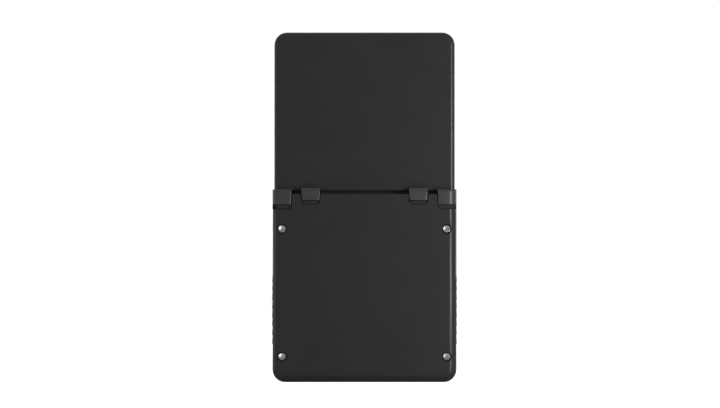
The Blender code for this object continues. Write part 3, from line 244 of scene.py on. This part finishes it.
shell = mouldedPlastic("mouldedShell", shellFinish)
shoulderPlastic = mouldedPlastic("shoulderPlastic", buttonFinish)
capPlastic = mouldedPlastic("capPlastic", capFinish)
plain = {name: plainMaterial(name, facts) for name, facts in plainFinishes.items()}
glassLow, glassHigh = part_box("screen_glass")
screen = screenMaterial("screenGlass", glassFinish, (glassLow + glassHigh) / 2)
print("materials made")


# small helpers for shapes

def selectOnly(piece):
    bpy.ops.object.select_all(action="DESELECT")
    piece.select_set(True)
    bpy.context.view_layer.objects.active = piece


def addObject(name, data):
    piece = bpy.data.objects.new(name, data)
    bpy.context.scene.collection.objects.link(piece)
    return piece


def applyTransform(piece):
    selectOnly(piece)
    bpy.ops.object.transform_apply(location=True, rotation=True, scale=True)


def applyModifier(piece, kind, **settings):
    modifier = piece.modifiers.new(kind.lower(), kind)
    for name, value in settings.items():
        setattr(modifier, name, value)
    selectOnly(piece)
    bpy.ops.object.modifier_apply(modifier=modifier.name)


def cutWith(piece, cutter):
    applyTransform(cutter)
    applyModifier(piece, "BOOLEAN", operation="DIFFERENCE", solver="EXACT", object=cutter)
    bpy.data.objects.remove(cutter)


def smoothSurface(piece, angle):
    # smooth over the fillets, while flat faces stay flat
    selectOnly(piece)
    bpy.ops.object.shade_smooth_by_angle(angle=math.radians(angle))
    applyModifier(piece, "WEIGHTED_NORMAL", mode="FACE_AREA", weight=100, keep_sharp=True)


# copies of the frame's covers and controls: lengths in metres, angles in degrees, and the cosine
# from which a face counts as square to an axis
covers = {"merge": 0.000002, "dissolve": 0.3, "angle": 32, "flat": 0.00002, "square": 0.99}


def mergedCopy(name, node):
    piece = addObject(name, nodes[node].data.copy())
    selectOnly(piece)
    bpy.ops.mesh.customdata_custom_splitnormals_clear()
    bpy.ops.object.mode_set(mode="EDIT")
    bpy.ops.mesh.select_all(action="SELECT")
    bpy.ops.mesh.remove_doubles(threshold=covers["merge"])
    bpy.ops.mesh.dissolve_limited(angle_limit=math.radians(covers["dissolve"]))
    bpy.ops.object.mode_set(mode="OBJECT")
    return piece


def pickFaces(piece, wanted):
    bpy.ops.object.mode_set(mode="OBJECT")
    for edge in piece.data.edges:
        edge.select = False
    for vertex in piece.data.vertices:
        vertex.select = False
    for face in piece.data.polygons:
        face.select = wanted(face)
    bpy.ops.object.mode_set(mode="EDIT")


def finishPiece(piece, material, body, slot, *stoodFor):
    piece.data.materials.clear()
    piece.data.materials.append(material)
    for face in piece.data.polygons:
        face.material_index = 0
    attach(piece, body)
    if stoodFor:
        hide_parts(*stoodFor)


# covers and controls with their fillets and rounded edges

coverNames = {"rear_cover": "rearCoverShell", "front_cover": "frontCoverShell",
              "lid_rear_cover": "lidBackShell", "lid_bezel": "lidFrontShell"}
shoulderNames = {"shoulder_outer_left": "outerShoulderLeft",
                 "shoulder_outer_right": "outerShoulderRight",
                 "shoulder_inner_left": "innerShoulderLeft",
                 "shoulder_inner_right": "innerShoulderRight"}
capNames = {"button_a": "thumbCapRight", "button_b": "thumbCapLow", "button_x": "thumbCapHigh",
            "button_y": "thumbCapLeft", "menu_button": "menuCap", "start_button": "startCap",
            "select_button": "selectCap", "volume_rocker": "volumeCap",
            "power_button": "powerCap", "reset_button": "resetCap"}

# a ridge along the rim of each back cover fills most of the seam, so no light passes through
seams = {"rear_cover": {"rim": 0.002025, "inset": 0.0005, "ridge": 0.00028},
         "lid_rear_cover": {"rim": -0.000575, "inset": 0.0004, "ridge": 0.00028}}


def addRidge(piece, facts):
    selectOnly(piece)
    bpy.ops.object.mode_set(mode="EDIT")
    bpy.ops.mesh.select_mode(type="FACE")
    pickFaces(piece, lambda face: face.normal.y < -covers["square"]
              and abs(face.center.y - facts["rim"]) < covers["flat"])
    bpy.ops.mesh.inset(thickness=facts["inset"])
    bpy.ops.mesh.extrude_region_move(
        TRANSFORM_OT_translate={"value": (0, -facts["ridge"], 0)})
    bpy.ops.object.mode_set(mode="OBJECT")


def dressNodes(names, material, slot):
    for node, name in names.items():
        piece = mergedCopy(name, node)
        if node in seams:
            addRidge(piece, seams[node])
        smoothSurface(piece, covers["angle"])
        finishPiece(piece, material, bodyOf[node], slot, node)


dressNodes(coverNames, shell, "shell")
dressNodes(shoulderNames, shoulderPlastic, "button")
dressNodes(capNames, capPlastic, "button")
print("covers and caps made")


# direction pad with four arrow recesses

padMarks = {"size": 0.0011, "depth": 0.00035, "place": 0.0078}


def makePad():
    pad = mergedCopy("directionPad", "dpad")
    low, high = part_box("dpad")
    centre = (low + high) / 2
    for turn in range(4):
        angle = math.radians(90 * turn)
        place = (centre.x + padMarks["place"] * math.cos(angle), low.y,
                 centre.z + padMarks["place"] * math.sin(angle))
        # a cylinder with three sides makes an arrow that points outwards
        bpy.ops.mesh.primitive_cylinder_add(
            vertices=3, radius=padMarks["size"], depth=2 * padMarks["depth"], location=place,
            rotation=(math.radians(90), math.radians(90) - angle, 0))
        cutWith(pad, bpy.context.object)
    smoothSurface(pad, covers["angle"])
    finishPiece(pad, capPlastic, "dpad", "button", "dpad")


makePad()
print("direction pad made")


# screws with a domed head and a cross recess

rearScrew = {"head": 0.00160, "rim": 0.00170, "height": 0.00195, "sunk": 0.00025,
             "shank": 0.0010, "length": 0.0095, "recess": 0.00050, "arm": 0.00022,
             "recessDepth": 0.00020}
lidScrew = {"head": 0.0012, "rim": 0.00040, "height": 0.0007, "sunk": 0.0, "shank": 0.0006,
            "length": 0.0050, "recess": 0.00045, "arm": 0.00022, "recessDepth": 0.00020}
# square is the cosine from which a face counts as the head's top or underside
screwMesh = {"sides": 40, "steps": 7, "square": 0.9, "taper": 0.5, "angle": 35}
# how far each screw was turned in, in degrees
screwTwists = {"rear": (12, 55, 31, 78), "lid": (20, 64)}


def modelScrew(name, facts):
    # stands on its seat at the origin, head up
    bpy.ops.mesh.primitive_cylinder_add(
        vertices=screwMesh["sides"], radius=facts["head"], depth=facts["rim"],
        location=(0, 0, facts["rim"] / 2))
    screw = bpy.context.object
    screw.name = name
    applyTransform(screw)
    bpy.ops.object.mode_set(mode="EDIT")
    bpy.ops.mesh.select_mode(type="FACE")
    pickFaces(screw, lambda face: face.normal.z > screwMesh["square"])
    # the cap is a shallow paraboloid in rings
    steps, lift, reach = screwMesh["steps"], facts["height"] - facts["rim"], 1.0
    for step in range(1, steps):
        inner = 1 - step / steps
        rise = lift * (reach ** 2 - inner ** 2)
        bpy.ops.mesh.extrude_region_move(TRANSFORM_OT_translate={"value": (0, 0, rise)})
        bpy.ops.transform.resize(value=(inner / reach, inner / reach, 1))
        reach = inner
    pickFaces(screw, lambda face: face.normal.z < -screwMesh["square"])
    bpy.ops.mesh.inset(thickness=facts["head"] - facts["shank"])
    bpy.ops.mesh.extrude_region_move(
        TRANSFORM_OT_translate={"value": (0, 0, facts["shank"] - facts["length"])})
    bpy.ops.mesh.extrude_region_move(
        TRANSFORM_OT_translate={"value": (0, 0, -facts["shank"])})
    bpy.ops.transform.resize(value=(screwMesh["taper"], screwMesh["taper"], 1))
    bpy.ops.object.mode_set(mode="OBJECT")
    for turn in (0, 90):
        bpy.ops.mesh.primitive_cube_add(size=1.0, location=(0, 0, facts["height"]))
        arm = bpy.context.object
        arm.scale = (2 * facts["recess"], facts["arm"], 2 * facts["recessDepth"])
        arm.rotation_euler = (0, 0, math.radians(turn))
        cutWith(screw, arm)
    smoothSurface(screw, screwMesh["angle"])
    return screw


heads = []


def placeScrew(model, name, node, backwards, twist, facts):
    # the head looks out of the back cover, or out of the lid's front
    low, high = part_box(node)
    drop = facts["sunk"] + facts["height"]
    seat = high.y - drop if backwards else low.y + drop
    screw = addObject(name, model.data.copy())
    screw.rotation_euler = (math.radians(-90 if backwards else 90), math.radians(twist), 0)
    screw.location = ((low.x + high.x) / 2, seat, (low.z + high.z) / 2)
    applyTransform(screw)
    finishPiece(screw, plain["screwNickel"], bodyOf[node], "screw_metal", node)
    heads.append(screw)


rearModel = modelScrew("rearScrewModel", rearScrew)
for number, twist in enumerate(screwTwists["rear"], 1):
    placeScrew(rearModel, f"rearScrew{number}", f"rear_screw_{number}", True, twist, rearScrew)
lidModel = modelScrew("lidScrewModel", lidScrew)
for side, twist in zip(("left", "right"), screwTwists["lid"]):
    placeScrew(lidModel, "lidScrew" + side.title(), "lid_screw_" + side, False, twist, lidScrew)
bpy.data.objects.remove(rearModel)
bpy.data.objects.remove(lidModel)
print("screws made")


# finishes of the nodes that keep their own shape

nodeFinishes = {
    "screen_glass": screen, "display_panel": screen, "speaker": plain["speakerCloth"],
    "status_light_guide": plain["frostedGuide"], "headphone_socket": plain["matRubber"],
    "bumper_left": plain["matRubber"], "bumper_right": plain["matRubber"],
    "main_board": plain["solderMask"], "shoulder_switch_left": plain["solderMask"],
    "shoulder_switch_right": plain["solderMask"], "battery": plain["batteryWrap"],
    "ribbon_base": plain["ribbonFilm"], "ribbon_lid": plain["ribbonFilm"],
    "dpad_mat": plain["keySilicone"], "face_button_mat": plain["keySilicone"],
    "start_select_mat": plain["keySilicone"], "menu_mat": plain["keySilicone"],
}
for name, node in nodes.items():
    material = nodeFinishes.get(name, plain["brushedSteel"])
    for slot in node.material_slots:
        slot.material = material
print("nodes finished")


# camera, lamps, backdrop and floor

photoView = {"width": 0.3331, "lens": 150.0, "sensor": 36.0, "aimX": 0.00206, "aimZ": 0.08213,
             "plane": 0.0025}


def addCamera():
    data = bpy.data.cameras.new("camera")
    data.lens = photoView["lens"]
    data.sensor_width = photoView["sensor"]
    camera = addObject("camera", data)
    distance = photoView["width"] * photoView["lens"] / photoView["sensor"]
    camera.location = (photoView["aimX"], photoView["plane"] + distance, photoView["aimZ"])
    camera.rotation_euler = (math.radians(90), 0, math.radians(180))
    bpy.context.scene.camera = camera


lamps = {
    "keyBack": {"place": (-0.196, 0.272, 0.052), "size": (0.065, 0.22), "watts": 1.7},
    "fillBack": {"place": (0.55, 0.75, 0.30), "size": (0.50, 0.60), "watts": 0.5},
    "headsBack": {"place": (0.38, 0.80, 0.18), "size": (0.24, 0.55), "watts": 3.0},
    "sideLeft": {"place": (0.60, 0.06, 0.12), "size": (0.30, 0.45), "watts": 0.9},
    "keyFront": {"place": (0.30, -0.52, 0.24), "size": (0.42, 0.42), "watts": 2.6},
    "fillFront": {"place": (-0.40, -0.52, 0.16), "size": (0.42, 0.42), "watts": 1.2},
    "top": {"place": (0.0, 0.0, 0.95), "size": (0.80, 0.80), "watts": 0.8},
}
lampAim = Vector((0, 0, 0.08))


def addLamp(name, lamp):
    data = bpy.data.lights.new(name, "AREA")
    data.shape = "RECTANGLE"
    data.size, data.size_y = lamp["size"]
    data.energy = lamp["watts"]
    light = addObject(name, data)
    light.location = lamp["place"]
    aim = lampAim - light.location
    light.rotation_euler = aim.to_track_quat("-Z", "Y").to_euler()
    light.visible_camera = False
    return light


def shareLight(light, state, pieces):
    # the key lamp draws the covers' edges, and the polished heads have a soft lamp of their own
    taking = bpy.data.collections.new(light.name + "Pieces")
    light.light_linking.receiver_collection = taking
    for piece in pieces:
        taking.objects.link(piece)
    for row in taking.collection_objects:
        row.light_linking.link_state = state


backdrop = {"seen": 1.0, "lights": 0.22}


def addWorld():
    world = bpy.data.worlds.new("studio")
    world.use_nodes = True
    bpy.context.scene.world = world
    tree = world.node_tree
    background = tree.nodes["Background"]
    background.inputs["Color"].default_value = (1.0, 1.0, 1.0, 1.0)
    path = tree.nodes.new("ShaderNodeLightPath")
    direct = tree.nodes.new("ShaderNodeMath")
    direct.operation = "ADD"
    seen = tree.nodes.new("ShaderNodeMath")
    seen.operation = "ADD"
    seen.use_clamp = True
    tree.links.new(path.outputs["Is Camera Ray"], direct.inputs[0])
    tree.links.new(path.outputs["Is Glossy Ray"], direct.inputs[1])
    tree.links.new(direct.outputs[0], seen.inputs[0])
    tree.links.new(path.outputs["Is Transmission Ray"], seen.inputs[1])
    level = tree.nodes.new("ShaderNodeMapRange")
    level.inputs["To Min"].default_value = backdrop["lights"]
    level.inputs["To Max"].default_value = backdrop["seen"]
    tree.links.new(seen.outputs[0], level.inputs["Value"])
    tree.links.new(level.outputs["Result"], background.inputs["Strength"])


floorFinish = {"size": 14.0, "colour": (0.86, 0.86, 0.86), "rough": 0.9, "specular": 0.2,
               "grain": 180.0, "strength": 0.1, "depth": 0.0002, "lift": 0.80}


def addFloor():
    bpy.ops.mesh.primitive_plane_add(size=floorFinish["size"], location=(0, 0, 0))
    floor = bpy.context.object
    floor.name = "paleFloor"
    material = newMaterial("palePaper", floorFinish["colour"], floorFinish["rough"],
                           specular=floorFinish["specular"])
    grain = noiseOn(material, "paper", floorFinish["grain"])
    grainFrom(material, grain, floorFinish["strength"], floorFinish["depth"])
    tree = material.node_tree
    shader = shaderOf(material)
    path = tree.nodes.new("ShaderNodeLightPath")
    shader.inputs["Emission Color"].default_value = (1.0, 1.0, 1.0, 1.0)
    lift = tree.nodes.new("ShaderNodeMath")
    lift.operation = "MULTIPLY"
    lift.inputs[1].default_value = floorFinish["lift"]
    tree.links.new(path.outputs["Is Camera Ray"], lift.inputs[0])
    tree.links.new(lift.outputs[0], shader.inputs["Emission Strength"])
    floor.data.materials.append(material)


addCamera()
lights = {name: addLamp(name, lamp) for name, lamp in lamps.items()}
shareLight(lights["keyBack"], "EXCLUDE", heads)
shareLight(lights["headsBack"], "INCLUDE", heads)
addWorld()
addFloor()
bpy.context.scene.view_settings.view_transform = "Standard"
print("camera, lamps and floor made")
